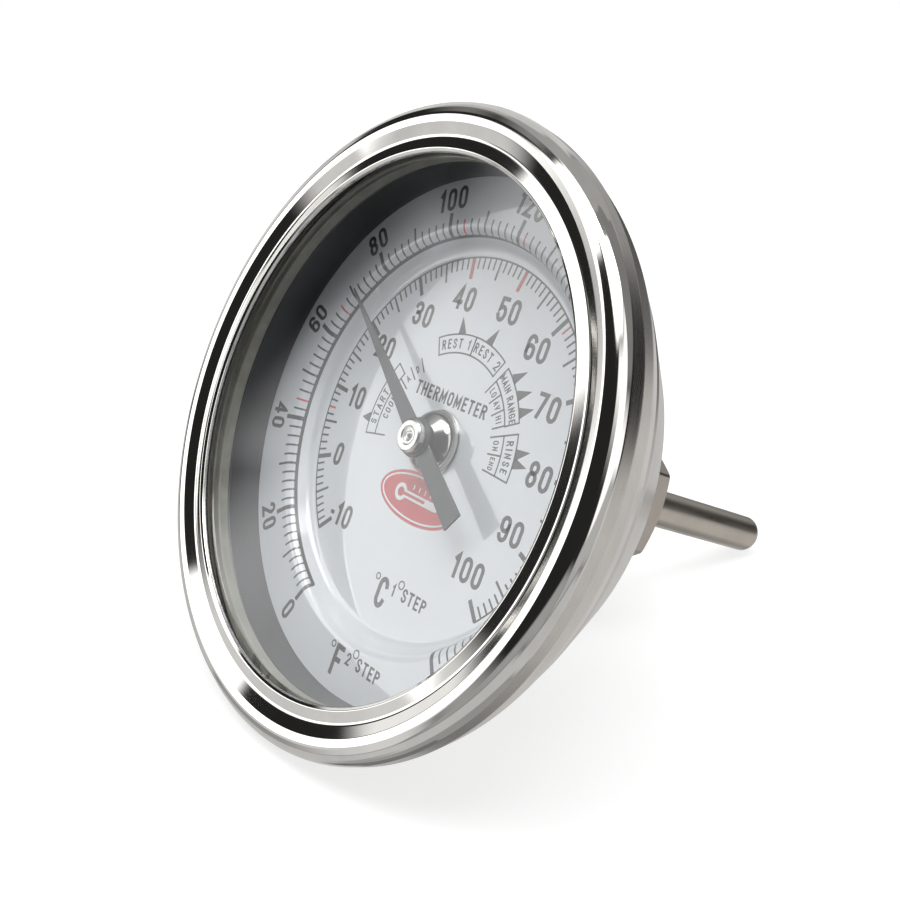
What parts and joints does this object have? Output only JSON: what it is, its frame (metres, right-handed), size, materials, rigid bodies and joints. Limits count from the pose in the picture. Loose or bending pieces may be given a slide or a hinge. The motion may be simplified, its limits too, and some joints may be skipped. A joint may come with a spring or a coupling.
{
  "type": "bimetal dial thermometer",
  "caption": "Back-connected dial thermometer: domed steel case with a glass-covered stepped dial and pointer, hex fitting and thin probe stem behind.",
  "frame": {"origin": "on the stem's axis at the rear face of the hex, where the probe leaves the fitting", "axes": "+Y along the stem towards its tip, the dial faces -Y, +Z towards the dial's twelve o'clock, +X towards its three o'clock"},
  "size_m": [0.0852, 0.0894, 0.0852],
  "materials": {
    "bezel_steel": "polished with a satin skirt",
    "case_steel": "satin, turned",
    "window_glass": "clear",
    "seal_rubber": "matt",
    "gasket_rubber": "matt",
    "spacer_metal": "polished",
    "dial_enamel": "gloss white",
    "dome_nickel": "polished nickel plate",
    "hub_nickel": "turned, nickel plated",
    "pointer_black": "satin black",
    "fitting_steel": "satin, machined",
    "stem_steel": "satin, drawn",
    "bimetal_strip": "rolled strip",
    "bearing_brass": "turned",
    "spindle_steel": "ground"
  },
  "bodies": {
    "housing": {"bezel_ring": "bezel_steel", "case_shell": "case_steel", "bezel_seal": "seal_rubber", "window_glass": "window_glass", "window_gasket": "gasket_rubber", "spacer_ring": "spacer_metal", "dial_plate": "dial_enamel", "dial_seat_ring": "spacer_metal", "dial_bushing": "bearing_brass", "upper_bearing": "bearing_brass", "dial_dome": "dome_nickel", "stem_tube": "stem_steel", "stem_tip_cap": "stem_steel", "coil_anchor": "bearing_brass", "lower_bearing": "bearing_brass", "bimetal_coil": "bimetal_strip", "hex_fitting": "fitting_steel", "fitting_washer": "case_steel", "fitting_lock_nut": "fitting_steel"},
    "pointer": {"pointer_blade": "pointer_black", "pointer_hub": "hub_nickel", "spindle": "spindle_steel", "coil_collet": "bearing_brass", "thrust_collar": "bearing_brass"}
  },
  "joints": [
    {"name": "pointer_turn", "type": "hinge", "parent": "housing", "child": "pointer", "pos_m": [0, -0.037, 0], "axis": [0, 1, 0], "range_deg": [-97, 203], "stiffness_Nm_per_rad": 0.0001}
  ]
}
